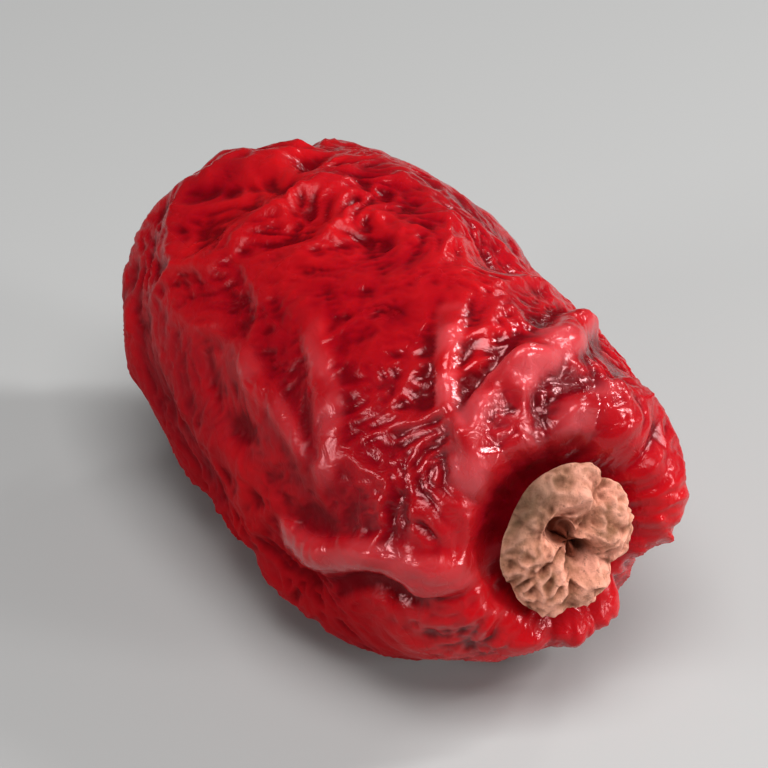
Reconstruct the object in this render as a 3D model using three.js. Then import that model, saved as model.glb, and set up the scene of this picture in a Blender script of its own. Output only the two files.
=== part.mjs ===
// A dried barberry: one whole berry in its shrunken, wrinkled skin, with the corky stigma disc
// at its tip and the broken stub of its stalk at the other end.
// Millimetres, +Z up. +X runs along the berry towards the disc, and the berry lies on a small
// flat spot at z = 0. The origin is at the bottom centre of the whole berry's box.
import * as THREE from "three";

// Plump form of the berry, before its skin shrinks
const HALF_LENGTH = 4.15;
const HALF_WIDTH = 2.52;
const HALF_HEIGHT = 2.54;
const TIP_POWER = 2.8; // above 2 the end is blunter than an ellipse
const STALK_POWER = 2.5;
const TAPER = 0.01; // share by which the berry narrows to its tip
const REST_DEPTH = 2.42; // from the axis down to the flat spot
const REST_FADE = [1.9, 2.35]; // depths below the axis between which wrinkles are pressed flat
const REST_KEEP = 0.3; // share of the wrinkles that is left there

// The tip leans upwards and to one side
const TIP_LEAN = 0.33; // radians at the very tip
const TIP_LEAN_TOWARDS = degrees(130); // angle round the axis, from +Y to +Z

// Wrinkle layers, each made of seeded waves: broad hollows, folds, and a net of small folds
const COLLAPSE = { seed: 431, wavelength: 4.4, stretch: 1.6, waves: 24 };
const COLLAPSE_DEPTH = 0.13;
const COLLAPSE_RANGE = [-0.2, 1.8];
const FOLDS = { seed: 137, wavelength: 1.9, stretch: 1, waves: 24 };
const FOLD_HEIGHT = 0.1;
const NET = { seed: 441, wavelength: 0.85, stretch: 1, waves: 24 };
const NET_HEIGHT = 0.046;
const CREST_ROUND = 0.16; // roundness of a fold's crest
const CREST_MEAN = 0.3; // level taken off a crest, so that folds neither swell nor shrink the berry

// Folds are strong in some patches of the skin and near the tip, and weak elsewhere
const PATCHES = { seed: 550, wavelength: 3.6, stretch: 1.3, waves: 24 };
const PATCH_LEAST = 0.34;
const PATCH_RANGE = [-0.6, 1.2];
const TIP_PATCH = [2.9, 3.6];

// Sideways sway of the folds, so that they wander
const WIDE_SWAY = { seed: 11, wavelength: 3.2, stretch: 1.2, waves: 12, amount: 0.22 };
const SMALL_SWAY = { seed: 21, wavelength: 1.1, stretch: 1.2, waves: 12, amount: 0.08 };

// Single folds, creases, swells and flats: place along the axis and angle round it, at both ends
const FOLD_LINES = [
  { from: [-0.8, 141], to: [0.4, 166], height: -0.09, width: 0.28 },
  { from: [0.4, 167], to: [1.9, 172], height: -0.08, width: 0.28 },
  { from: [0.2, 150], to: [1.5, 160], height: 0.06, width: 0.15 },
  { from: [1.1, 133], to: [2.2, 157], height: 0.07, width: 0.28 },
  { from: [2.5, 106], to: [3.5, 122], height: 0.16, width: 0.2 },
  { from: [2.3, 54], to: [3.5, 88], height: 0.2, width: 0.26 },
  { from: [3.55, 90], to: [3.85, 134], height: 0.15, width: 0.16 },
  { from: [3.7, 78], to: [3.65, 54], height: 0.09, width: 0.14 },
  { from: [1.9, 184], to: [3.7, 184], height: 0.16, width: 0.38 },
  { from: [1.8, 200], to: [3.6, 199], height: -0.08, width: 0.2 },
  { from: [-2.6, 70], to: [0.8, 96], height: -0.1, width: 0.4 },
  { from: [-2.9, 160], to: [-0.9, 196], height: -0.12, width: 0.35 },
  { from: [0.2, 41], to: [2.9, 41], height: -0.16, width: 0.9 },
  { from: [0.8, 222], to: [3.0, 222], height: 0.28, width: 0.8 },
  { from: [3.4, 35], to: [3.5, -10], height: 0.22, width: 0.35 },
  { from: [3.5, 265], to: [3.6, 320], height: -0.22, width: 0.45 },
];
const FOLD_LINE_WANDER = 0.12;
const FOLD_LINE_END = 0.45; // length over which a line dies out
const TAUT_RANGE = [0.02, 0.1]; // heights over which a single fold pulls the skin taut
const TAUT_CALM = 0.8; // share of the other wrinkles that it smooths out

// Puckered skin round the disc and round the stalk
const TIP_HOLLOW = { radius: 1.02, depth: 0.36, power: 6, calm: 0.92 };
const TIP_COLLAR = { radius: 1.36, width: 0.32, height: 0.16, even: 0.8 };
const TIP_PLEATS = { count: 11, swing: 1.6, turns: 2, phase: 3.0 };
const TIP_PLEAT_RING = { radius: 1.3, width: 0.34, height: 0.08 };
const TIP_PLEAT_MEAN = 0.64;
const STALK_HOLLOW = { radius: 0.55, depth: 0.3, power: 4, calm: 0.7 };
const STALK_PLEATS = { count: 8, swing: 1.5, turns: 1, phase: 2.0 };
const STALK_PLEAT_RING = { radius: 0.85, width: 0.4, height: 0.13 };
const STALK_PLEAT_MEAN = 0.35;

// Stigma disc: radius and height above its seat, from the pit's centre over the rim to the seat
const DISC_PROFILE = [
  [0, 0.18],
  [0.15, 0.22],
  [0.28, 0.42],
  [0.5, 0.53],
  [0.74, 0.46],
  [0.86, 0.31],
  [0.73, 0.16],
  [0.52, 0.08],
  [0.47, 0],
  [0, 0],
];
const DISC_SLIT = { stretch: 0.7, angle: -0.94, from: 0.14, to: 0.36 }; // the pit is a slit, not round
const DISC_OVAL = { stretch: 0.07, angle: 1.2 };
const DISC_LOBES = { count: 5, swing: 2.0, turns: 1, phase: 2.0 };
const DISC_LOBE_HEIGHT = 0.15;
const DISC_LOBE_MEAN = 0.64;
const DISC_LUMPS = { seed: 61, wavelength: 0.45, stretch: 1, waves: 16 };
const DISC_LUMP_HEIGHT = 0.04;
const DISC_SEAT_FADE = [0.55, 0.75]; // shares of the profile between which it turns into a plain seat

// Stalk stub: radius and distance out from its seat
const STUB_PROFILE = [
  [0, 0],
  [0.25, 0],
  [0.27, 0.12],
  [0.23, 0.45],
  [0.26, 0.74],
  [0.2, 0.84],
  [0, 0.78],
];
const STUB_RADIUS = 0.25;
const STUB_RIBS = { count: 5, height: 0.025 };
const STUB_LUMPS = { seed: 71, wavelength: 0.5, stretch: 1.6, waves: 16 };
const STUB_LUMP_HEIGHT = 0.02;

const SEAT_GAP = 0.03; // between the skin and what grows from it

// Seeded draw of numbers, and how far the waves of one field differ in pitch
const DRAW = { start: 7919, multiplier: 16807, modulus: 2147483647 };
const PITCH_RANGE = [0.75, 1.25];

// Fineness of the surfaces: rows from end to end, and sides round the axis
const BERRY_GRID = { rows: 58, sides: 96 };
const DISC_GRID = { rows: 27, sides: 32 };
const STUB_GRID = { rows: 18, sides: 20 };

const SKIN_RED = new THREE.MeshStandardMaterial({ color: 0xa8101a, roughness: 0.35, metalness: 0 });
const CORK_TAN = new THREE.MeshStandardMaterial({ color: 0xb08a5c, roughness: 0.8, metalness: 0 });
const STALK_TAN = new THREE.MeshStandardMaterial({ color: 0xa87a5a, roughness: 0.85, metalness: 0 });

function degrees(angle) {
  return THREE.MathUtils.degToRad(angle);
}

/** A smooth step from 0 to 1 over a range of values. */
function step(value, [start, end]) {
  return THREE.MathUtils.smoothstep(value, start, end);
}

/** A draw of numbers between 0 and 1 that is the same each time for the same seed. */
function seededDraw(seed) {
  let state = seed * DRAW.start;
  return () => {
    state = (state * DRAW.multiplier) % DRAW.modulus;
    return state / DRAW.modulus;
  };
}

/** One seeded plane wave of a field, in any direction, stretched along the berry. */
function drawWave(draw, wavelength, stretch) {
  const along = 2 * draw() - 1;
  const turn = 2 * Math.PI * draw();
  const across = Math.sqrt(1 - along * along);
  const pitch = ((2 * Math.PI) / wavelength) * THREE.MathUtils.lerp(...PITCH_RANGE, draw());
  const phase = 2 * Math.PI * draw();
  const wave = new THREE.Vector3(along / stretch, across * Math.cos(turn), across * Math.sin(turn));
  return { wave: wave.multiplyScalar(pitch), phase };
}

/** A smooth uneven field over space: a sum of seeded waves, with values mostly from -2 to 2. */
function waveField({ seed, wavelength, stretch, waves }) {
  const draw = seededDraw(seed);
  const rows = Array.from({ length: waves }, () => drawWave(draw, wavelength, stretch));
  const level = Math.sqrt(2 / waves);
  const sineAt = (point) => (sum, { wave, phase }) => sum + Math.sin(wave.dot(point) + phase);
  return (point) => level * rows.reduce(sineAt(point), 0);
}

/** Three fields that push a point sideways, so that wrinkles wander. */
function swayField(sway) {
  const fields = [0, 1, 2].map((step) => waveField({ ...sway, seed: sway.seed + step }));
  const pushAt = (point) => new THREE.Vector3(...fields.map((field) => field(point)));
  return (point) => pushAt(point).multiplyScalar(sway.amount);
}

/** A rounded ridge along the line where a field crosses zero. */
function crest(value) {
  return 1 - Math.hypot(value, CREST_ROUND) - CREST_MEAN;
}

/** A bell that is 1 where the value meets its centre. */
function bell(value, centre, width) {
  return Math.exp(-(((value - centre) / width) ** 2));
}

/** A round hollow with a flat floor: 1 inside the radius and 0 outside it. */
function hollow(reach, { radius, power }) {
  return Math.exp(-((reach / radius) ** power));
}

/** Uneven pleats round the axis, from 0 to 1. */
function pleats(angle, { count, swing, turns, phase }) {
  return 0.5 + 0.5 * Math.sin(count * angle + swing * Math.sin(turns * angle + phase));
}

/** Broad pleats with sharp creases between them, from 0 to 1. */
function puckers(angle, rhythm) {
  return Math.sqrt(pleats(angle, rhythm));
}

const wideSway = swayField(WIDE_SWAY);
const smallSway = swayField(SMALL_SWAY);
const collapseField = waveField(COLLAPSE);
const foldField = waveField(FOLDS);
const netField = waveField(NET);
const patchField = waveField(PATCHES);
const discLumps = waveField(DISC_LUMPS);
const stubLumps = waveField(STUB_LUMPS);

/** Turn from one angle to another, the short way round. */
function turnFrom(start, end) {
  return THREE.MathUtils.euclideanModulo(end - start + Math.PI, 2 * Math.PI) - Math.PI;
}

/** Height at one point of all the single folds and creases. */
function foldLines(x, angle, wander) {
  return FOLD_LINES.reduce((sum, { from, to, height, width }) => {
    const turn = turnFrom(degrees((from[1] + to[1]) / 2), angle);
    const run = new THREE.Vector2(to[0] - from[0], degrees(to[1] - from[1]) * HALF_WIDTH);
    const length = run.length();
    run.normalize();
    const place = new THREE.Vector2(x - (from[0] + to[0]) / 2, turn * HALF_WIDTH);
    const past = Math.max(Math.abs(place.dot(run)) - length / 2, 0);
    const aside = run.cross(place) + FOLD_LINE_WANDER * wander;
    return sum + height * bell(aside, 0, width) * bell(past, 0, FOLD_LINE_END);
  }, 0);
}

/** How far the shrunken skin stands out of the plump form, away from the two ends. */
function wrinkles(point, angle) {
  const wide = point.clone().add(wideSway(point));
  const small = wide.clone().add(smallSway(point));
  const folds = foldField(wide);
  const sunken = COLLAPSE_DEPTH * step(collapseField(wide), COLLAPSE_RANGE);
  const patch = Math.max(step(patchField(point), PATCH_RANGE), step(point.x, TIP_PATCH));
  const single = foldLines(point.x, angle, folds);
  const loose = 1 - TAUT_CALM * step(single, TAUT_RANGE);
  const net = FOLD_HEIGHT * crest(folds) + NET_HEIGHT * crest(netField(small));
  return loose * THREE.MathUtils.lerp(PATCH_LEAST, 1, patch) * net + single - sunken;
}

/** The collar of puckered skin round the stigma disc. */
function tipRelief(reach, angle) {
  const pucker = puckers(angle, TIP_PLEATS);
  const collar = TIP_COLLAR.height * bell(reach, TIP_COLLAR.radius, TIP_COLLAR.width);
  const pleat = TIP_PLEAT_RING.height * bell(reach, TIP_PLEAT_RING.radius, TIP_PLEAT_RING.width);
  return collar * THREE.MathUtils.lerp(TIP_COLLAR.even, 1, pucker) + pleat * (pucker - TIP_PLEAT_MEAN);
}

/** The gathered skin round the stalk. */
function stalkRelief(reach, angle) {
  const gather = pleats(angle, STALK_PLEATS) - STALK_PLEAT_MEAN;
  return STALK_PLEAT_RING.height * bell(reach, STALK_PLEAT_RING.radius, STALK_PLEAT_RING.width) * gather;
}

/** Point of the plump form at a polar angle from the tip and an angle round the axis. */
function plumpPoint(polar, angle) {
  const [c, s] = [Math.cos(polar), Math.sin(polar)];
  const power = c > 0 ? TIP_POWER : STALK_POWER;
  const nearness = Math.abs(c / HALF_LENGTH) ** power + Math.abs(s / HALF_WIDTH) ** power;
  const radius = nearness ** (-1 / power);
  const reach = radius * s * (1 - TAPER * c);
  const flatten = HALF_HEIGHT / HALF_WIDTH;
  return new THREE.Vector3(radius * c, reach * Math.cos(angle), reach * Math.sin(angle) * flatten);
}

/** Lean of the axis towards the tip, and how far it has moved sideways, at a place along it. */
function tipLean(x) {
  const ahead = Math.max(x, 0);
  const lean = TIP_LEAN * (ahead / HALF_LENGTH) ** 2;
  return { lean, shift: (lean * ahead) / 3 };
}

/** Bends the tip end of the straight berry towards its lean. */
function bendTip(point) {
  const { lean, shift } = tipLean(point.x);
  const side = new THREE.Vector3(0, Math.cos(TIP_LEAN_TOWARDS), Math.sin(TIP_LEAN_TOWARDS));
  const bent = point.clone().addScaledVector(side, shift);
  bent.x -= lean * point.dot(side);
  return bent;
}

/** Point of the dried berry's skin. */
function skinPoint(polar, angle) {
  const plump = plumpPoint(polar, angle);
  const halves = new THREE.Vector3(HALF_LENGTH, HALF_WIDTH, HALF_HEIGHT);
  const outward = plump.clone().divide(halves).divide(halves).normalize();
  const reach = Math.hypot(plump.y, plump.z);
  const atTip = polar < Math.PI / 2;
  const pit = atTip ? TIP_HOLLOW : STALK_HOLLOW;
  const calm = hollow(reach, { radius: pit.calm, power: pit.power });
  const free = (1 - calm) * THREE.MathUtils.lerp(1, REST_KEEP, step(-plump.z, REST_FADE));
  const ends = atTip ? tipRelief(reach, angle) : stalkRelief(reach, angle);
  const skin = plump.addScaledVector(outward, free * wrinkles(plump, angle) + ends);
  skin.x += (atTip ? -1 : 1) * pit.depth * hollow(reach, pit);
  const bent = bendTip(skin);
  bent.z = Math.max(bent.z, -REST_DEPTH);
  return bent;
}

/** Point of the stigma disc, in its own frame: +X up from its seat, share 0 at the pit, 1 at the seat. */
function discPoint(curve, share, angle) {
  const { x: radius, y: height } = curve.getPoint(share);
  const slit = 1 - step(share, [DISC_SLIT.from, DISC_SLIT.to]);
  const slitStretch = slit * DISC_SLIT.stretch * Math.cos(2 * (angle - DISC_SLIT.angle));
  const ovalStretch = DISC_OVAL.stretch * Math.cos(2 * (angle - DISC_OVAL.angle));
  const reach = radius * (1 + slitStretch + ovalStretch);
  const point = new THREE.Vector3(height, reach * Math.cos(angle), reach * Math.sin(angle));
  const lobes = DISC_LOBE_HEIGHT * (puckers(angle, DISC_LOBES) - DISC_LOBE_MEAN);
  const relief = lobes + DISC_LUMP_HEIGHT * discLumps(point);
  const outward = new THREE.Vector3(1, point.y, point.z).normalize();
  return point.addScaledVector(outward, relief * (1 - step(share, DISC_SEAT_FADE)));
}

/** Point of the stalk stub, in the berry's directions: the stub runs out of its seat along -X. */
function stubPoint(curve, share, angle) {
  const { x: radius, y: out } = curve.getPoint(share);
  const point = new THREE.Vector3(-out, radius * Math.cos(angle), radius * Math.sin(angle));
  const ribs = STUB_RIBS.height * Math.cos(STUB_RIBS.count * angle);
  const swell = (radius / STUB_RADIUS) * (ribs + STUB_LUMP_HEIGHT * stubLumps(point));
  const outward = new THREE.Vector3(0, Math.cos(angle), Math.sin(angle));
  return point.addScaledVector(outward, swell);
}

/** A closed surface whose first and last rows are single points, from +X round to -X. */
function closedSurface({ rows, sides }, pointAt) {
  const points = [pointAt(0, 0)];
  for (let row = 1; row < rows; row++) {
    for (let side = 0; side < sides; side++) {
      points.push(pointAt(row / rows, (2 * Math.PI * side) / sides));
    }
  }
  points.push(pointAt(1, 0));
  const geometry = new THREE.BufferGeometry().setFromPoints(points);
  geometry.setIndex(surfaceTriangles(rows, sides, points));
  geometry.computeVertexNormals();
  return geometry;
}

/** Triangles of a closed surface, each four-sided patch split along its shorter diagonal. */
function surfaceTriangles(rows, sides, points) {
  const last = points.length - 1;
  const at = (row, side) => 1 + (row - 1) * sides + (side % sides);
  const triangles = [];
  for (let side = 0; side < sides; side++) {
    triangles.push(0, at(1, side), at(1, side + 1));
    triangles.push(last, at(rows - 1, side + 1), at(rows - 1, side));
    for (let row = 1; row < rows - 1; row++) {
      const [a, b] = [at(row, side), at(row, side + 1)];
      const [d, c] = [at(row + 1, side), at(row + 1, side + 1)];
      const acrossFirst = points[a].distanceTo(points[c]) < points[b].distanceTo(points[d]);
      triangles.push(...(acrossFirst ? [a, d, c, a, c, b] : [a, d, b, b, d, c]));
    }
  }
  return triangles;
}

function profileCurve(profile) {
  return new THREE.SplineCurve(profile.map(([x, y]) => new THREE.Vector2(x, y)));
}

function namedMesh(name, geometry, material) {
  const mesh = new THREE.Mesh(geometry, material);
  mesh.name = name;
  return mesh;
}

function berryBody() {
  const skin = closedSurface(BERRY_GRID, (share, angle) => skinPoint(Math.PI * share, angle));
  return namedMesh("berry_body", skin, SKIN_RED);
}

/** The disc stands on the floor of the tip's hollow and leans with the tip. */
function stigmaDisc() {
  const curve = profileCurve(DISC_PROFILE);
  const geometry = closedSurface(DISC_GRID, (share, angle) => discPoint(curve, share, angle));
  const seat = HALF_LENGTH - TIP_HOLLOW.depth + SEAT_GAP;
  const { lean } = tipLean(seat);
  const frame = new THREE.Group();
  frame.position.copy(bendTip(new THREE.Vector3(seat, 0, 0)));
  const hinge = new THREE.Vector3(0, -Math.sin(TIP_LEAN_TOWARDS), Math.cos(TIP_LEAN_TOWARDS));
  frame.quaternion.setFromAxisAngle(hinge, lean);
  frame.add(namedMesh("stigma_disc", geometry, CORK_TAN));
  return frame;
}

/** The stub stands on the floor of the stalk's hollow. */
function stalkStub() {
  const curve = profileCurve(STUB_PROFILE);
  const geometry = closedSurface(STUB_GRID, (share, angle) => stubPoint(curve, share, angle));
  const stub = namedMesh("stalk_stub", geometry, STALK_TAN);
  stub.position.x = -(HALF_LENGTH - STALK_HOLLOW.depth + SEAT_GAP);
  return stub;
}

const barberry = new THREE.Group();
barberry.add(berryBody(), stigmaDisc(), stalkStub());

// The origin goes to the bottom centre of the whole berry's box
const box = new THREE.Box3().setFromObject(barberry, true);
const centre = box.getCenter(new THREE.Vector3());
barberry.position.set(-centre.x, -centre.y, -box.min.z);

export default barberry;
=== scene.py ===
"""A dried barberry: its fine skin, stigma disc and stalk stub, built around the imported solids.

The skin repeats the solids' own formula in millimetres, on a finer grid and with finer wrinkles.
"""
import math

import bpy
import numpy as np
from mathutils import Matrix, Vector


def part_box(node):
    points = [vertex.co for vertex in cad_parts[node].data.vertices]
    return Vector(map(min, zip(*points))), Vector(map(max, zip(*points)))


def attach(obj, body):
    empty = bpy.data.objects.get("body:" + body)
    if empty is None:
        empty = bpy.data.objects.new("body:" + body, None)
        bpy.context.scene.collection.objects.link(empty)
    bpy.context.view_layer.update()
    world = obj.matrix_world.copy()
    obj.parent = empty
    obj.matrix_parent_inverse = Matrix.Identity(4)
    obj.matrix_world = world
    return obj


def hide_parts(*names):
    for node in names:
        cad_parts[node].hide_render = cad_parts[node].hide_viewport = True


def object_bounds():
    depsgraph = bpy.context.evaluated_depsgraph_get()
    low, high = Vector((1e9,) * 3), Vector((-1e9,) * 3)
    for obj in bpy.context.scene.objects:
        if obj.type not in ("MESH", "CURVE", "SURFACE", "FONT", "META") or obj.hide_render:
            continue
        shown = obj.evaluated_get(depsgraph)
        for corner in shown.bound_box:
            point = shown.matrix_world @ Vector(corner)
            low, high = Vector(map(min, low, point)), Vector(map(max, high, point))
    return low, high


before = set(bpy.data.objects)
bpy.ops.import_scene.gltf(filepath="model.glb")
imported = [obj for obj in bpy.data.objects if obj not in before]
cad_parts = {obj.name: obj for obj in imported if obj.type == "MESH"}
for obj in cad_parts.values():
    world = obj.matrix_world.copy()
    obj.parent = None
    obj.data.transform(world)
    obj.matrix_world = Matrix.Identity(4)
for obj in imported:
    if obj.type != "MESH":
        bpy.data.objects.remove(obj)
CAD_LOW, CAD_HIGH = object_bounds()
MM = 0.001

# The plain seeded draw that every wrinkle layer uses, and the spread of its waves' pitch
DRAW_START = 7919
DRAW_FACTOR = 16807
DRAW_RANGE = 2147483647
PITCH_LEAST = 0.75
PITCH_SPREAD = 0.5

# Plump form of the berry, before its skin shrinks, in millimetres
HALF_LENGTH = 4.15
HALF_WIDTH = 2.52
HALF_HEIGHT = 2.54
TIP_POWER = 2.8
STALK_POWER = 2.5
TAPER = 0.01
REST_DEPTH = 2.42
REST_FADE = {"start": 1.9, "end": 2.35, "keep": 0.3}

# The tip leans a little upwards and to one side
TIP_LEAN = 0.33
TIP_LEAN_TOWARDS = math.radians(130)

# Wrinkle layers, each made of seeded waves that are stretched along the berry
COLLAPSE = {"seed": 431, "wavelength": 4.4, "stretch": 1.6, "waves": 24}
COLLAPSE_DEPTH = 0.13
COLLAPSE_RANGE = (-0.2, 1.8)
FOLDS = {"seed": 137, "wavelength": 1.9, "stretch": 1.0, "waves": 24}
FOLD_HEIGHT = 0.1
NET = {"seed": 441, "wavelength": 0.85, "stretch": 1.0, "waves": 24}
NET_HEIGHT = 0.046
PATCHES = {"seed": 550, "wavelength": 3.6, "stretch": 1.3, "waves": 24}
PATCH_LEAST = 0.34
PATCH_RANGE = (-0.6, 1.2)
TIP_PATCH = (2.9, 3.6)
WIDE_SWAY = {"seed": 11, "wavelength": 3.2, "stretch": 1.2, "waves": 12}
WIDE_SWAY_AMOUNT = 0.22
SMALL_SWAY = {"seed": 21, "wavelength": 1.1, "stretch": 1.2, "waves": 12}
SMALL_SWAY_AMOUNT = 0.08
CREST_ROUND = 0.16
CREST_MEAN = 0.3

# Finer wrinkles that only the dressed berry has
GRAIN = {"seed": 43, "wavelength": 0.42, "stretch": 1.0, "waves": 24}
GRAIN_HEIGHT = 0.024
GRAIN_SWAY = 0.05
CRINKLE = {"seed": 47, "wavelength": 0.2, "stretch": 1.2, "waves": 24}
CRINKLE_HEIGHT = 0.011
FINE_PUCKERS = {"count": 29, "swing": 2.5, "turns": 3, "phase": 1.0}
FINE_PUCKER_BELL = (1.5, 0.3)
FINE_PUCKER_HEIGHT = 0.035
PUCKER_SWAY = {"seed": 81, "wavelength": 0.9, "stretch": 1.0, "waves": 16}
PUCKER_SWAY_AMOUNT = 0.06
PUCKER_UNEVEN = 0.5

# Single folds and creases: (along, degrees round) at both ends, height, width
FOLD_LINES = (
    ((-0.8, 141), (0.4, 166), -0.09, 0.28),
    ((0.4, 167), (1.9, 172), -0.08, 0.28),
    ((0.2, 150), (1.5, 160), 0.06, 0.15),
    ((1.1, 133), (2.2, 157), 0.07, 0.28),
    ((2.5, 106), (3.5, 122), 0.16, 0.2),
    ((2.3, 54), (3.5, 88), 0.2, 0.26),
    ((3.55, 90), (3.85, 134), 0.15, 0.16),
    ((3.7, 78), (3.65, 54), 0.09, 0.14),
    ((1.9, 184), (3.7, 184), 0.16, 0.38),
    ((1.8, 200), (3.6, 199), -0.08, 0.2),
    ((-2.6, 70), (0.8, 96), -0.1, 0.4),
    ((-2.9, 160), (-0.9, 196), -0.12, 0.35),
)

# Softer flanks of those folds, which only the dressed berry has, in the same way
FINE_LINES = (
    ((2.7, 92), (3.5, 107), 0.08, 0.32),
    ((3.6, 85), (4.0, 122), 0.08, 0.2),
    ((3.9, 86), (3.88, 116), 0.08, 0.13),
)

# Broad flats and swells of the body and of the tip, in the same way
SWELLS = (
    ((0.2, 41), (2.9, 41), -0.16, 0.9),
    ((0.8, 222), (3.0, 222), 0.28, 0.8),
    ((3.4, 35), (3.5, -10), 0.22, 0.35),
    ((3.5, 265), (3.6, 320), -0.22, 0.45),
)

# How the single folds wander and end, their flatter uneven tops, and the skin that they pull taut
FOLD_LINE_WANDER = 0.12
FOLD_LINE_END = 0.45
FOLD_POWER = 2
FINE_FOLD_POWER = 3
FINE_CALM = 0.4
FOLD_UNEVEN = {"seed": 95, "wavelength": 0.75, "stretch": 1.0, "waves": 16}
FOLD_UNEVEN_SHARE = 0.15
TAUT_RANGE = (0.02, 0.1)
TAUT_CALM = 0.8

# One flank of the skin is dull and its colour is darkened there as painted shade, the top of its tip
# is glossy, and its taut folds are glossy and pale, partly pale skin and partly painted highlight
DULL_SHADED_TOWARDS = math.radians(206)
DULL_SHADED_WIDTH = 1.15
DULL_SHADED_FROM_TIP = (2.6, 3.6)
BODY_GLOSS = 0.32
GLOSSY_TIP = (1.8, 2.8)
GLOSSY_TOWARDS = math.radians(105)
GLOSSY_WIDTH = 0.9
# Where the taut folds turn pale: partly pale skin, partly painted highlight
PALE_AND_HIGHLIGHT_PATCHES = {"seed": 91, "wavelength": 0.6, "stretch": 1.0, "waves": 16}
PALE_AND_HIGHLIGHT_RANGE = (-1.6, 0.8)
PALE_AND_HIGHLIGHT_WIDTH = 1.4

# Puckered skin round the disc and round the stalk
TIP_HOLLOW = {"radius": 1.02, "power": 6}
TIP_CALM = {"radius": 0.92, "power": 6}
TIP_HOLLOW_DEPTH = 0.36
TIP_COLLAR = (1.36, 0.32)
TIP_COLLAR_HEIGHT = 0.16
TIP_COLLAR_EVEN = 0.8
TIP_PLEATS = {"count": 11, "swing": 1.6, "turns": 2, "phase": 3.0}
TIP_PLEAT_BELL = (1.3, 0.34)
TIP_PLEAT_HEIGHT = 0.08
TIP_PLEAT_MEAN = 0.64
STALK_HOLLOW = {"radius": 0.55, "power": 4}
STALK_CALM = {"radius": 0.7, "power": 4}
STALK_HOLLOW_DEPTH = 0.3
STALK_PLEATS = {"count": 8, "swing": 1.5, "turns": 1, "phase": 2.0}
STALK_PLEAT_BELL = (0.85, 0.4)
STALK_PLEAT_HEIGHT = 0.13
STALK_PLEAT_MEAN = 0.35

# Stigma disc: radius and height above its seat, from the pit over the rim to the sunken seat
DISC_PROFILE = (
    (0, 0.18), (0.15, 0.22), (0.28, 0.42), (0.5, 0.53), (0.74, 0.46),
    (0.86, 0.31), (0.73, 0.16), (0.52, 0.08), (0.47, -0.08), (0, -0.08),
)
DISC_SLIT = {"stretch": 0.7, "angle": -0.94, "start": 0.14, "end": 0.36}
DISC_OVAL = {"stretch": 0.07, "angle": 1.2}
DISC_LOBES = {"count": 5, "swing": 2.0, "turns": 1, "phase": 2.0}
DISC_LOBE_HEIGHT = 0.15
DISC_LOBE_MEAN = 0.64
DISC_LUMPS = {"seed": 61, "wavelength": 0.45, "stretch": 1, "waves": 16}
DISC_LUMP_HEIGHT = 0.04
DISC_SEAT_FADE = (0.55, 0.75)
DISC_CORK = {"seed": 63, "wavelength": 0.26, "stretch": 1, "waves": 24}
DISC_CORK_HEIGHT = 0.03
DISC_PORES = {"seed": 65, "wavelength": 0.11, "stretch": 1, "waves": 24}
DISC_PORE_HEIGHT = 0.008

# Dark places of the disc: shares along its profile, and the angle and width of the darker olive side
# of its rim
DISC_PIT_FADE = (0.08, 0.22)
DISC_OLIVE_SIDE = (2.3, 0.9)
DISC_OLIVE_SIDE_FADE = (0.22, 0.5)

# Stalk stub: radius and distance out from its sunken seat
STUB_PROFILE = (
    (0, -0.08), (0.27, -0.08), (0.27, 0.12), (0.23, 0.45), (0.26, 0.74), (0.2, 0.84), (0, 0.78),
)
STUB_RADIUS = 0.25
STUB_RIBS = 5
STUB_RIB_HEIGHT = 0.025
STUB_LUMPS = {"seed": 71, "wavelength": 0.5, "stretch": 1.6, "waves": 16}
STUB_LUMP_HEIGHT = 0.02
STUB_FIBRES = {"seed": 73, "wavelength": 0.14, "stretch": 6, "waves": 24}
STUB_FIBRE_HEIGHT = 0.012

# Gap that keeps the disc and the stub apart from the body
SEAT_GAP = 0.03

# Rows from end to end and sides round the axis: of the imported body, and of the dressed pieces
CAD_GRID = (58, 96)
SKIN_GRID = (280, 330)
DISC_GRID = (180, 240)
STUB_GRID = (60, 72)

# Ridges and creases for colour, painted highlight on ridges and painted shade in creases: grid steps
# to the neighbours, and the depth that counts in full
CAVITY_STEPS = (3, 7)
SKIN_CREASE_DEPTH = 0.05
DISC_CREASE_DEPTH = 0.045
SHORTEST_NORMAL = 1e-12

# Skin: colours from crimson to scarlet, then (most, colour) of what is mixed in: painted highlight on
# ridges, painted shade in creases and on the dull flank, and pale skin with painted highlight on the
# taut folds
SKIN_PATCHES = {"scale": 0.45, "detail": 4.0, "distortion": 0.6}
SKIN_COLOURS = (
    (0.30, (0.160, 0.0006, 0.0045)),
    (0.50, (0.300, 0.0014, 0.0060)),
    (0.70, (0.450, 0.0040, 0.0070)),
)
# painted highlight: lighter scarlet on the skin's ridges
SKIN_RIDGE_HIGHLIGHT = (0.25, (0.58, 0.012, 0.014))
# painted shade: dark crimson in the skin's creases
SKIN_CREASE_SHADE = (0.8, (0.08, 0.0, 0.002))
# pale pink on the taut folds: partly pale skin, partly painted highlight
SKIN_PALE_AND_HIGHLIGHT_FOLDS = (0.48, (0.64, 0.085, 0.10))
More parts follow.
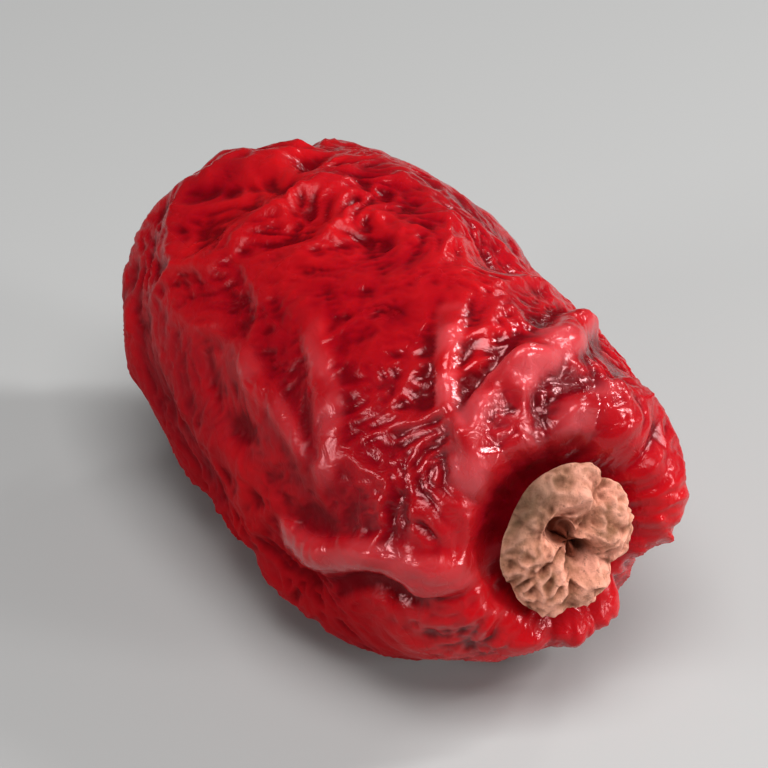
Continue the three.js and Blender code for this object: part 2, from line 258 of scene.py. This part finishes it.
# painted shade: darker crimson on the dull flank
SKIN_FLANK_SHADE_MOST = 0.45
SKIN_FLANK_SHADE_COLOUR = (0.15, 0.0004, 0.003)
SKIN_ROUGH_PATCHES = {"scale": 1.3, "detail": 4.0}
SKIN_ROUGH_SPAN = (0.3, 0.7)
SKIN_ROUGHNESS = (0.14, 0.32)
SKIN_DULL_ROUGHNESS = (0.65, 0.1)
SKIN_SHEEN = (0.04, 0.8)
SKIN_GRAIN = {"scale": 5.0, "detail": 3.0, "roughness": 0.5, "distortion": 0.8}
SKIN_GRAIN_BUMP = {"distance": 0.03 * MM, "strength": 0.7}
SKIN_SHADER = {
    "Subsurface Weight": 0.4,
    "Subsurface Radius": (1.0, 0.12, 0.08),
    "Subsurface Scale": 0.28 * MM,
    "Specular Tint": (1.0, 0.48, 0.5, 1),
}

# Cork of the stigma, in the same way, with painted highlight on ridges and painted shade in creases
CORK_MOTTLE = {"scale": 2.2, "detail": 5.0, "roughness": 0.65}
CORK_COLOURS = (
    (0.34, (0.220, 0.088, 0.042)),
    (0.48, (0.500, 0.200, 0.122)),
    (0.62, (0.780, 0.330, 0.230)),
)
# painted highlight: cream on the cork's ridges
CORK_RIDGE_HIGHLIGHT = (0.5, (0.88, 0.41, 0.30))
# painted shade: dark brown in the cork's creases
CORK_CREASE_SHADE = (0.8, (0.170, 0.042, 0.018))
# darker olive on one side of the rim
CORK_OLIVE_SIDE = (0.85, (0.080, 0.050, 0.024))
CORK_SPECK_NOISE = {"scale": 11.0, "detail": 3.0, "roughness": 0.7}
CORK_SPECK_SPAN = (0.56, 0.68)
CORK_SPECK_MOST = 0.6
CORK_SPECK_COLOUR = (0.150, 0.062, 0.030)
CORK_PIT = (1, (0.140, 0.024, 0.008))
CORK_GRAIN = {"scale": 9.0, "detail": 5.0, "roughness": 0.75}
CORK_GRAIN_BUMP = {"distance": 0.05 * MM, "strength": 0.9}
CORK_SHADER = {"Roughness": 0.78, "Specular IOR Level": 0.25}

# Fibres of the stalk, drawn out along it
STALK_SQUEEZE = (0.2, 1, 1)
STALK_FIBRES = {"scale": 7.0, "detail": 4.0}
STALK_COLOURS = (
    (0.30, (0.130, 0.055, 0.030)),
    (0.50, (0.360, 0.180, 0.095)),
    (0.70, (0.560, 0.360, 0.210)),
)
STALK_BUMP = {"distance": 0.02 * MM, "strength": 0.7}
STALK_SHADER = {"Roughness": 0.8}

# Camera and lights: angles in degrees, distances and light sizes in metres
CAMERA_AZIMUTH = 56
CAMERA_ELEVATION = 34
CAMERA_LENS = 200
CAMERA_DISTANCE = 0.0525
LIGHTS = (
    # name, degrees right of the camera, elevation, distance, width and height, watts
    ("key", 100, 34, 0.060, (0.0055, 0.024), 0.026),
    ("side", 64, 12, 0.060, (0.010, 0.014), 0.017),
    ("rim", 144, 34, 0.060, (0.006, 0.010), 0.004),
    ("fill", -62, 18, 0.080, (0.026, 0.016), 0.024),
    ("top", 5, 66, 0.070, (0.040, 0.040), 0.049),
)
SKY = {"Color": (1, 1, 1, 1), "Strength": 0.06}
FLOOR_HALF = 0.2
FLOOR_SHADER = {"Base Color": (0.38, 0.38, 0.376, 1), "Roughness": 0.9}


def seeded_draw(seed):
    """A draw of numbers between 0 and 1 that is the same each time for the same seed."""
    state = seed * DRAW_START

    def draw():
        nonlocal state
        state = (state * DRAW_FACTOR) % DRAW_RANGE
        return state / DRAW_RANGE

    return draw


def wave_field(points, seed, wavelength, stretch, waves):
    """A smooth uneven field over space: a sum of seeded plane waves."""
    draw = seeded_draw(seed)
    total = np.zeros(points.shape[:-1])
    for _ in range(waves):
        along = 2 * draw() - 1
        turn = 2 * math.pi * draw()
        across = math.sqrt(1 - along * along)
        pitch = (2 * math.pi / wavelength) * (PITCH_LEAST + PITCH_SPREAD * draw())
        phase = 2 * math.pi * draw()
        wave = np.array((along / stretch, across * math.cos(turn), across * math.sin(turn)))
        total += np.sin(points @ (pitch * wave) + phase)
    return math.sqrt(2 / waves) * total


def sway(points, layer):
    """Three fields that push points sideways, so that wrinkles wander."""
    fields = [wave_field(points, **{**layer, "seed": layer["seed"] + step}) for step in range(3)]
    return np.stack(fields, axis=-1)


def smoothstep(value, start, end):
    share = np.clip((value - start) / (end - start), 0, 1)
    return share * share * (3 - 2 * share)


def crest(value):
    """A rounded ridge along the line where a field crosses zero."""
    return 1 - np.hypot(value, CREST_ROUND) - CREST_MEAN


def bell(value, centre, width):
    return np.exp(-(((value - centre) / width) ** 2))


def hollow(reach, radius, power):
    """A round hollow with a flat floor: 1 inside the radius and 0 outside it."""
    return np.exp(-((reach / radius) ** power))


def pleats(angle, count, swing, turns, phase):
    """Uneven pleats round the axis, from 0 to 1."""
    return 0.5 + 0.5 * np.sin(count * angle + swing * np.sin(turns * angle + phase))


def fold_lines(lines, x, angle, wander, power):
    """Height of all the single folds and creases of one kind, with flatter tops at a higher power."""
    total = np.zeros(x.shape)
    for (x0, a0), (x1, a1), height, width in lines:
        turn = (angle - math.radians((a0 + a1) / 2) + math.pi) % (2 * math.pi) - math.pi
        run = np.array((x1 - x0, math.radians(a1 - a0) * HALF_WIDTH))
        length = np.hypot(*run)
        run /= length
        place = x - (x0 + x1) / 2, turn * HALF_WIDTH
        past = np.maximum(np.abs(place[0] * run[0] + place[1] * run[1]) - length / 2, 0)
        aside = run[0] * place[1] - run[1] * place[0] + FOLD_LINE_WANDER * wander
        total += height * hollow(np.abs(aside), width, power) * bell(past, 0, FOLD_LINE_END)
    return total


def swayed(points):
    return points + WIDE_SWAY_AMOUNT * sway(points, WIDE_SWAY)


def skin_gloss_and_painted_light(rows, sides):
    """How glossy the skin is, from 0 on the dull flank to 1, which also sets painted shade on that
    flank, and how pale its taut folds are, as pale skin and painted highlight.
    """
    share, angle = grid_angles(rows, sides)
    points = plump_points(math.pi * share, angle)
    folds = wave_field(swayed(points), **FOLDS)
    lines = fold_lines(FOLD_LINES, points[..., 0], angle, folds, FINE_FOLD_POWER)
    taut = smoothstep(lines, *TAUT_RANGE)
    upper = bell(angle, GLOSSY_TOWARDS, GLOSSY_WIDTH)
    bright = np.maximum(taut, upper * smoothstep(points[..., 0], *GLOSSY_TIP))
    # the dull flank, whose colour is also darkened as painted shade
    dull_shaded_flank = bell(angle, DULL_SHADED_TOWARDS, DULL_SHADED_WIDTH)
    dull_shaded_flank *= 1 - smoothstep(points[..., 0], *DULL_SHADED_FROM_TIP)
    gloss = (1 - dull_shaded_flank * (1 - taut)) * (BODY_GLOSS + (1 - BODY_GLOSS) * bright)
    # pale taut folds: partly pale skin, partly painted highlight
    pale_skin_and_highlight = taut * bell(angle, GLOSSY_TOWARDS, PALE_AND_HIGHLIGHT_WIDTH)
    pale_skin_and_highlight *= smoothstep(wave_field(points, **PALE_AND_HIGHLIGHT_PATCHES), *PALE_AND_HIGHLIGHT_RANGE)
    return {"gloss": gloss, "pale_skin_and_highlight": pale_skin_and_highlight}


def looseness(single, calm):
    """How freely the skin wrinkles: less where a single fold pulls it taut."""
    return 1 - calm * smoothstep(single, *TAUT_RANGE)


def wrinkles(points, angle, fine):
    """How far the shrunken skin stands out of the plump form, away from the two ends."""
    wide = swayed(points)
    ripple = sway(points, SMALL_SWAY)
    small = wide + SMALL_SWAY_AMOUNT * ripple
    folds = wave_field(wide, **FOLDS)
    patch = smoothstep(wave_field(points, **PATCHES), *PATCH_RANGE)
    patch = np.maximum(patch, smoothstep(points[..., 0], *TIP_PATCH))
    patch = PATCH_LEAST + (1 - PATCH_LEAST) * patch
    power = FINE_FOLD_POWER if fine else FOLD_POWER
    lines = fold_lines(FOLD_LINES, points[..., 0], angle, folds, power)
    single = lines + fold_lines(SWELLS, points[..., 0], angle, folds, FOLD_POWER)
    strength = looseness(single, TAUT_CALM) * patch
    height = -COLLAPSE_DEPTH * smoothstep(wave_field(wide, **COLLAPSE), *COLLAPSE_RANGE)
    height += FOLD_HEIGHT * strength * crest(folds)
    height += NET_HEIGHT * strength * crest(wave_field(small, **NET))
    height += single
    if fine:
        height += fold_lines(FINE_LINES, points[..., 0], angle, folds, FOLD_POWER)
        height += FOLD_UNEVEN_SHARE * lines * wave_field(small, **FOLD_UNEVEN)
        loose = looseness(lines, FINE_CALM)
        finest = small + GRAIN_SWAY * ripple
        height += GRAIN_HEIGHT * loose * patch * crest(wave_field(finest, **GRAIN))
        height += CRINKLE_HEIGHT * loose * crest(wave_field(finest, **CRINKLE))
    return height


def tip_relief(reach, angle):
    """The collar of puckered skin round the stigma disc."""
    pucker = np.sqrt(pleats(angle, **TIP_PLEATS))
    collar = TIP_COLLAR_HEIGHT * bell(reach, *TIP_COLLAR)
    collar *= TIP_COLLAR_EVEN + (1 - TIP_COLLAR_EVEN) * pucker
    pleat = TIP_PLEAT_HEIGHT * bell(reach, *TIP_PLEAT_BELL)
    return collar + pleat * (pucker - TIP_PLEAT_MEAN)


def fine_puckers(points, reach, angle):
    """Fine uneven puckers across the collar."""
    uneven = wave_field(points, **PUCKER_SWAY)
    pucker = np.sqrt(pleats(angle + PUCKER_SWAY_AMOUNT * uneven, **FINE_PUCKERS)) - TIP_PLEAT_MEAN
    height = FINE_PUCKER_HEIGHT * bell(reach, *FINE_PUCKER_BELL)
    return height * pucker * (1 + PUCKER_UNEVEN * uneven)


def stalk_relief(reach, angle):
    """The gathered skin round the stalk."""
    gather = pleats(angle, **STALK_PLEATS) - STALK_PLEAT_MEAN
    return STALK_PLEAT_HEIGHT * bell(reach, *STALK_PLEAT_BELL) * gather


def plump_points(polar, angle):
    """Points of the plump form at polar angles from the tip and angles round the axis."""
    c, s = np.cos(polar), np.sin(polar)
    power = np.where(c > 0, TIP_POWER, STALK_POWER)
    radius = (np.abs(c / HALF_LENGTH) ** power + np.abs(s / HALF_WIDTH) ** power) ** (-1 / power)
    reach = radius * s * (1 - TAPER * c)
    flatten = HALF_HEIGHT / HALF_WIDTH
    return np.stack((radius * c, reach * np.cos(angle), reach * np.sin(angle) * flatten), axis=-1)


def lean_side():
    return np.array((0, math.cos(TIP_LEAN_TOWARDS), math.sin(TIP_LEAN_TOWARDS)))


def bend_tip(points):
    """Bends the tip end of the straight berry: its slope grows with the square of the way ahead."""
    ahead = np.maximum(points[..., 0], 0)
    lean = TIP_LEAN * (ahead / HALF_LENGTH) ** 2
    side = lean_side()
    bent = points + (lean * ahead / 3)[..., None] * side
    bent[..., 0] -= lean * (points @ side)
    return bent


def grid_angles(rows, sides):
    """Share along the surface and angle round the axis, for every point of a grid."""
    share = np.linspace(0, 1, rows + 1)
    angle = np.linspace(0, 2 * math.pi, sides, endpoint=False)
    return np.meshgrid(share, angle, indexing="ij")


def skin_points(rows, sides, fine):
    """Points of the dried berry's skin, row by row from the tip to the stalk."""
    share, angle = grid_angles(rows, sides)
    polar = math.pi * share
    plump = plump_points(polar, angle)
    outward = plump / np.array((HALF_LENGTH, HALF_WIDTH, HALF_HEIGHT)) ** 2
    outward /= np.linalg.norm(outward, axis=-1, keepdims=True)
    reach = np.hypot(plump[..., 1], plump[..., 2])
    at_tip = polar < math.pi / 2
    calm = np.where(at_tip, hollow(reach, **TIP_CALM), hollow(reach, **STALK_CALM))
    pressed = smoothstep(-plump[..., 2], REST_FADE["start"], REST_FADE["end"])
    free = (1 - calm) * (1 - (1 - REST_FADE["keep"]) * pressed)
    ends = np.where(at_tip, tip_relief(reach, angle), stalk_relief(reach, angle))
    if fine:
        ends += np.where(at_tip, fine_puckers(plump, reach, angle), 0)
    skin = plump + (free * wrinkles(plump, angle, fine) + ends)[..., None] * outward
    tip_floor = -TIP_HOLLOW_DEPTH * hollow(reach, **TIP_HOLLOW)
    stalk_floor = STALK_HOLLOW_DEPTH * hollow(reach, **STALK_HOLLOW)
    skin[..., 0] += np.where(at_tip, tip_floor, stalk_floor)
    bent = bend_tip(skin)
    bent[..., 2] = np.maximum(bent[..., 2], -REST_DEPTH)
    return bent


def frame_shift():
    """From the berry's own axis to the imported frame's origin, in millimetres."""
    coarse = skin_points(*CAD_GRID, fine=False)
    low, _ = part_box("berry_body")
    return np.array(low) / MM - coarse.reshape(-1, 3).min(axis=0)


def spline_points(profile, shares):
    """Points of a smooth curve through a profile, at shares from 0 to 1."""
    knots = np.array(profile, float)
    last = len(knots) - 1
    place = np.asarray(shares) * last
    step = np.minimum(place.astype(int), last - 1)
    w = (place - step)[..., None]
    p0, p1 = knots[np.maximum(step - 1, 0)], knots[step]
    p2, p3 = knots[step + 1], knots[np.minimum(step + 2, last)]
    a, b = (p2 - p0) / 2, (p3 - p1) / 2
    return (2 * p1 - 2 * p2 + a + b) * w ** 3 + (3 * p2 - 3 * p1 - 2 * a - b) * w ** 2 + a * w + p1


def disc_points(rows, sides):
    """Points of the stigma disc in its own frame, +X up from its seat."""
    share, angle = grid_angles(rows, sides)
    curve = spline_points(DISC_PROFILE, share)
    slit = 1 - smoothstep(share, DISC_SLIT["start"], DISC_SLIT["end"])
    stretch = DISC_SLIT["stretch"] * slit * np.cos(2 * (angle - DISC_SLIT["angle"]))
    stretch += DISC_OVAL["stretch"] * np.cos(2 * (angle - DISC_OVAL["angle"]))
    reach = curve[..., 0] * (1 + stretch)
    points = np.stack((curve[..., 1], reach * np.cos(angle), reach * np.sin(angle)), axis=-1)
    free = 1 - smoothstep(share, *DISC_SEAT_FADE)
    outward = points.copy()
    outward[..., 0] = 1
    outward /= np.linalg.norm(outward, axis=-1, keepdims=True)
    height = DISC_LOBE_HEIGHT * (np.sqrt(pleats(angle, **DISC_LOBES)) - DISC_LOBE_MEAN)
    height += DISC_LUMP_HEIGHT * wave_field(points, **DISC_LUMPS)
    height += DISC_CORK_HEIGHT * crest(wave_field(points, **DISC_CORK))
    height += DISC_PORE_HEIGHT * wave_field(points, **DISC_PORES)
    return points + (free * height)[..., None] * outward


def placed_disc(points):
    """The disc on the floor of the tip's hollow, leaning with the tip."""
    seat = np.array((HALF_LENGTH - TIP_HOLLOW_DEPTH + SEAT_GAP, 0, 0))
    lean = TIP_LEAN * (seat[0] / HALF_LENGTH) ** 2
    side = lean_side()
    across = np.cross(np.array((1, 0, 0)), side)
    up = math.cos(lean) * np.array((1, 0, 0)) + math.sin(lean) * side
    tilted = math.cos(lean) * side - math.sin(lean) * np.array((1, 0, 0))
    turned = points[..., :1] * up
    turned = turned + (points @ side)[..., None] * tilted + (points @ across)[..., None] * across
    return turned + bend_tip(seat[None])[0]


def stub_points(rows, sides):
    """Points of the stalk stub, which runs out of its seat along -X."""
    share, angle = grid_angles(rows, sides)
    curve = spline_points(STUB_PROFILE, share)
    radius = np.maximum(curve[..., 0], 0)
    points = np.stack((-curve[..., 1], radius * np.cos(angle), radius * np.sin(angle)), axis=-1)
    height = STUB_RIB_HEIGHT * np.cos(STUB_RIBS * angle)
    height += STUB_LUMP_HEIGHT * wave_field(points, **STUB_LUMPS)
    height += STUB_FIBRE_HEIGHT * wave_field(points, **STUB_FIBRES)
    outward = np.stack((np.zeros_like(angle), np.cos(angle), np.sin(angle)), axis=-1)
    return points + (radius / STUB_RADIUS * height)[..., None] * outward


def placed_stub(points):
    return points - np.array((HALF_LENGTH - STALK_HOLLOW_DEPTH + SEAT_GAP, 0, 0))


def surface_faces(rows, sides):
    """Faces of a closed surface whose first and last rows are single points."""
    ring = np.arange(sides)
    after = (ring + 1) % sides
    starts = 1 + sides * np.arange(rows - 2)[:, None]
    corners = (starts + ring, starts + sides + ring, starts + sides + after, starts + after)
    quads = np.stack(corners, axis=-1)
    last = 1 + sides * (rows - 1)
    first_fan = np.stack((np.zeros_like(ring), 1 + ring, 1 + after), axis=-1)
    last_fan = np.stack((np.full_like(ring, last), last - sides + after, last - sides + ring), axis=-1)
    return first_fan.tolist() + quads.reshape(-1, 4).tolist() + last_fan.tolist()


def surface_values(grid):
    """A grid's values in the order of the surface's points: one for each end, all in between."""
    return np.concatenate((grid[:1, 0], grid[1:-1].reshape(-1, *grid.shape[2:]), grid[-1:, 0]))


def surface_object(name, grid, material, values):
    """A smooth mesh object from a grid of points in millimetres, with named values at its points."""
    mesh = bpy.data.meshes.new(name)
    rows, sides = grid.shape[0] - 1, grid.shape[1]
    mesh.from_pydata((surface_values(grid) * MM).tolist(), [], surface_faces(rows, sides))
    mesh.shade_smooth()
    for key, value in values.items():
        attribute = mesh.attributes.new(key, "FLOAT", "POINT")
        attribute.data.foreach_set("value", surface_values(value).astype(np.float32))
    mesh.materials.append(material)
    piece = bpy.data.objects.new(name, mesh)
    bpy.context.scene.collection.objects.link(piece)
    return piece


def grid_normals(grid):
    """Outward normals of a grid surface."""
    along = np.gradient(grid, axis=0)
    around = np.roll(grid, -1, axis=1) - np.roll(grid, 1, axis=1)
    normal = np.cross(along, around)
    return normal / (np.linalg.norm(normal, axis=-1, keepdims=True) + SHORTEST_NORMAL)


def cavity(grid, step):
    """How far each point lies below its neighbours a few steps away: positive in creases."""
    rows = np.arange(grid.shape[0])
    before, after = np.maximum(rows - step, 0), np.minimum(rows + step, rows[-1])
    mean = grid[before] + grid[after] + np.roll(grid, step, axis=1) + np.roll(grid, -step, axis=1)
    return np.sum((mean / 4 - grid) * grid_normals(grid), axis=-1)


def set_inputs(node, inputs):
    """Sets plain values on a node's inputs."""
    for key, value in inputs.items():
        node.inputs[key].default_value = value


def make_node(tree, kind, inputs=None, **settings):
    """A shader node with its settings and its plain input values."""
    node = tree.nodes.new(kind)
    for key, value in settings.items():
        setattr(node, key, value)
    set_inputs(node, inputs or {})
    return node


def new_material(name, inputs):
    """A node material with plain values on its shader, then its tree and that shader."""
    material = bpy.data.materials.new(name)
    material.use_nodes = True
    tree = material.node_tree
    shader = tree.nodes["Principled BSDF"]
    set_inputs(shader, inputs)
    return material, tree, shader


def millimetre_coordinates(tree):
    """Object coordinates in millimetres."""
    source = make_node(tree, "ShaderNodeTexCoord")
    scale = make_node(tree, "ShaderNodeMapping", {"Scale": (1 / MM, 1 / MM, 1 / MM)})
    tree.links.new(source.outputs["Object"], scale.inputs["Vector"])
    return scale.outputs["Vector"]


def noise(tree, vector, scale, detail=3.0, roughness=0.5, distortion=0.0):
    inputs = {"Scale": scale, "Detail": detail, "Roughness": roughness, "Distortion": distortion}
    node = make_node(tree, "ShaderNodeTexNoise", inputs)
    tree.links.new(vector, node.inputs["Vector"])
    return node.outputs["Fac"]


def ramp(tree, value, stops):
    """A colour ramp with (place, colour) stops."""
    node = make_node(tree, "ShaderNodeValToRGB")
    elements = node.color_ramp.elements
    for index, (place, colour) in enumerate(stops):
        element = elements[index] if index < len(elements) else elements.new(place)
        element.position = place
        element.color = (*colour, 1)
    tree.links.new(value, node.inputs["Fac"])
    return node.outputs["Color"]


def mix(tree, share, first, second_colour):
    """A mix of a colour socket with one colour, by a share socket."""
    node = make_node(tree, "ShaderNodeMix", data_type="RGBA")
    set_inputs(node, {"B": (*second_colour, 1)})
    tree.links.new(share, node.inputs["Factor"])
    tree.links.new(first, node.inputs["A"])
    return node.outputs["Result"]


def tint(tree, colour, name, most, second_colour):
    """A colour mixed with a second one, up to the most where a named value of the points is 1."""
    share = remap(tree, attribute(tree, name), (0, 1), (0, most))
    return mix(tree, share, colour, second_colour)


def remap(tree, value, from_range, to_range):
    """A number socket moved from one range to another, and held within it."""
    ends = zip(("From Min", "From Max", "To Min", "To Max"), (*from_range, *to_range))
    node = make_node(tree, "ShaderNodeMapRange", dict(ends))
    tree.links.new(value, node.inputs["Value"])
    return node.outputs["Result"]


def larger(tree, first, second):
    """The larger of two number sockets."""
    node = make_node(tree, "ShaderNodeMath", operation="MAXIMUM")
    tree.links.new(first, node.inputs[0])
    tree.links.new(second, node.inputs[1])
    return node.outputs["Value"]


def attribute(tree, name):
    return make_node(tree, "ShaderNodeAttribute", attribute_name=name).outputs["Fac"]


def bump(tree, height, distance, strength):
    node = make_node(tree, "ShaderNodeBump", {"Strength": strength, "Distance": distance})
    tree.links.new(height, node.inputs["Height"])
    return node.outputs["Normal"]


def skin_material():
    """Glossy translucent dried skin: crimson, with scarlet patches, painted highlight on ridges,
    painted shade in creases and on the dull flank, and pale folds that are partly painted highlight.
    """
    material, tree, shader = new_material("skin", SKIN_SHADER)
    place = millimetre_coordinates(tree)
    gloss = attribute(tree, "gloss")
    dull_shaded_flank = remap(tree, gloss, (0, BODY_GLOSS), (SKIN_FLANK_SHADE_MOST, 0))
    colour = ramp(tree, noise(tree, place, **SKIN_PATCHES), SKIN_COLOURS)
    # painted highlight on ridges
    colour = tint(tree, colour, "ridge_highlight", *SKIN_RIDGE_HIGHLIGHT)
    # painted shade in creases
    colour = tint(tree, colour, "crease_shade", *SKIN_CREASE_SHADE)
    # painted shade on the dull flank
    colour = mix(tree, dull_shaded_flank, colour, SKIN_FLANK_SHADE_COLOUR)
    # pale taut folds, partly painted highlight
    colour = tint(tree, colour, "pale_skin_and_highlight", *SKIN_PALE_AND_HIGHLIGHT_FOLDS)
    tree.links.new(colour, shader.inputs["Base Color"])
    rough = remap(tree, noise(tree, place, **SKIN_ROUGH_PATCHES), SKIN_ROUGH_SPAN, SKIN_ROUGHNESS)
    dull_rough = remap(tree, gloss, (0, BODY_GLOSS), SKIN_DULL_ROUGHNESS)
    tree.links.new(larger(tree, rough, dull_rough), shader.inputs["Roughness"])
    tree.links.new(remap(tree, gloss, (0, 1), SKIN_SHEEN), shader.inputs["Specular IOR Level"])
    grain = noise(tree, place, **SKIN_GRAIN)
    tree.links.new(bump(tree, grain, **SKIN_GRAIN_BUMP), shader.inputs["Normal"])
    return material


def cork_material():
    """Dry corky stigma: tan with cream ridges as painted highlight, painted shade in creases, dark
    specks, darker olive on one side of the rim and a dark pit.
    """
    material, tree, shader = new_material("stigma", CORK_SHADER)
    place = millimetre_coordinates(tree)
    colour = ramp(tree, noise(tree, place, **CORK_MOTTLE), CORK_COLOURS)
    # painted highlight on ridges
    colour = tint(tree, colour, "ridge_highlight", *CORK_RIDGE_HIGHLIGHT)
    # painted shade in creases
    colour = tint(tree, colour, "crease_shade", *CORK_CREASE_SHADE)
    # darker olive on one side of the rim
    colour = tint(tree, colour, "olive_side", *CORK_OLIVE_SIDE)
    specks = remap(tree, noise(tree, place, **CORK_SPECK_NOISE), CORK_SPECK_SPAN, (0, CORK_SPECK_MOST))
    colour = mix(tree, specks, colour, CORK_SPECK_COLOUR)
    colour = tint(tree, colour, "pit", *CORK_PIT)
    tree.links.new(colour, shader.inputs["Base Color"])
    grain = noise(tree, place, **CORK_GRAIN)
    tree.links.new(bump(tree, grain, **CORK_GRAIN_BUMP), shader.inputs["Normal"])
    return material


def stalk_material():
    """Dry fibrous stalk: pinkish tan with darker fibres."""
    material, tree, shader = new_material("stalk", STALK_SHADER)
    squeeze = make_node(tree, "ShaderNodeMapping", {"Scale": STALK_SQUEEZE})
    tree.links.new(millimetre_coordinates(tree), squeeze.inputs["Vector"])
    fibres = noise(tree, squeeze.outputs["Vector"], **STALK_FIBRES)
    tree.links.new(ramp(tree, fibres, STALK_COLOURS), shader.inputs["Base Color"])
    tree.links.new(bump(tree, fibres, **STALK_BUMP), shader.inputs["Normal"])
    return material


def relief_values(grid, depth):
    """Shares of painted highlight on ridges and painted shade in creases at every point, for colour.
    """
    hollows = sum(cavity(grid, step) for step in CAVITY_STEPS) / depth
    return {"ridge_highlight": np.clip(-hollows, 0, 1), "crease_shade": np.clip(hollows, 0, 1)}


def dress(piece, node):
    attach(piece, "root")
    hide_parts(node)


def make_berry(shift):
    skin = skin_points(*SKIN_GRID, fine=True)
    values = {**relief_values(skin, SKIN_CREASE_DEPTH), **skin_gloss_and_painted_light(*SKIN_GRID)}
    piece = surface_object("berry_skin", skin + shift, skin_material(), values)
    dress(piece, "berry_body")


def make_disc(shift):
    disc = disc_points(*DISC_GRID)
    share, angle = grid_angles(*DISC_GRID)
    values = relief_values(disc, DISC_CREASE_DEPTH)
    values["pit"] = 1 - smoothstep(share, *DISC_PIT_FADE)
    values["olive_side"] = bell(angle, *DISC_OLIVE_SIDE) * smoothstep(share, *DISC_OLIVE_SIDE_FADE)
    piece = surface_object("stigma_cork", placed_disc(disc) + shift, cork_material(), values)
    dress(piece, "stigma_disc")


def make_stub(shift):
    stub = stub_points(*STUB_GRID)
    piece = surface_object("stalk_end", placed_stub(stub) + shift, stalk_material(), {})
    dress(piece, "stalk_stub")


def make_floor():
    corners = [(x * FLOOR_HALF, y * FLOOR_HALF, 0) for x, y in ((-1, -1), (1, -1), (1, 1), (-1, 1))]
    mesh = bpy.data.meshes.new("floor")
    mesh.from_pydata(corners, [], [(0, 1, 2, 3)])
    mesh.materials.append(new_material("floor", FLOOR_SHADER)[0])
    floor = bpy.data.objects.new("floor", mesh)
    bpy.context.scene.collection.objects.link(floor)


def backwards(azimuth, elevation):
    """Unit vector from the berry to a viewer or a light."""
    a, e = math.radians(azimuth), math.radians(elevation)
    return Vector((math.sin(a) * math.cos(e), -math.cos(a) * math.cos(e), math.sin(e)))


def aim(thing, target, azimuth, elevation, distance):
    """Places a camera or light round a target and turns it to face it."""
    back = backwards(azimuth, elevation)
    thing.location = target + back * distance
    thing.rotation_euler = back.to_track_quat("Z", "Y").to_euler()
    bpy.context.scene.collection.objects.link(thing)


def make_camera(target):
    data = bpy.data.cameras.new("camera")
    data.lens = CAMERA_LENS
    data.clip_start = MM
    camera = bpy.data.objects.new("camera", data)
    aim(camera, target, CAMERA_AZIMUTH, CAMERA_ELEVATION, CAMERA_DISTANCE)
    bpy.context.scene.camera = camera


def make_lights(target):
    for name, right, elevation, distance, size, watts in LIGHTS:
        data = bpy.data.lights.new(name, "AREA")
        data.shape = "RECTANGLE"
        data.size, data.size_y = size
        data.energy = watts
        aim(bpy.data.objects.new(name, data), target, CAMERA_AZIMUTH + right, elevation, distance)
    world = bpy.data.worlds.new("sky")
    world.use_nodes = True
    set_inputs(world.node_tree.nodes["Background"], SKY)
    bpy.context.scene.world = world


def main():
    shift = frame_shift()
    make_berry(shift)
    make_disc(shift)
    make_stub(shift)
    make_floor()
    middle = (CAD_LOW + CAD_HIGH) / 2
    make_camera(middle)
    make_lights(middle)
    bpy.context.scene.view_settings.view_transform = "Standard"


main()
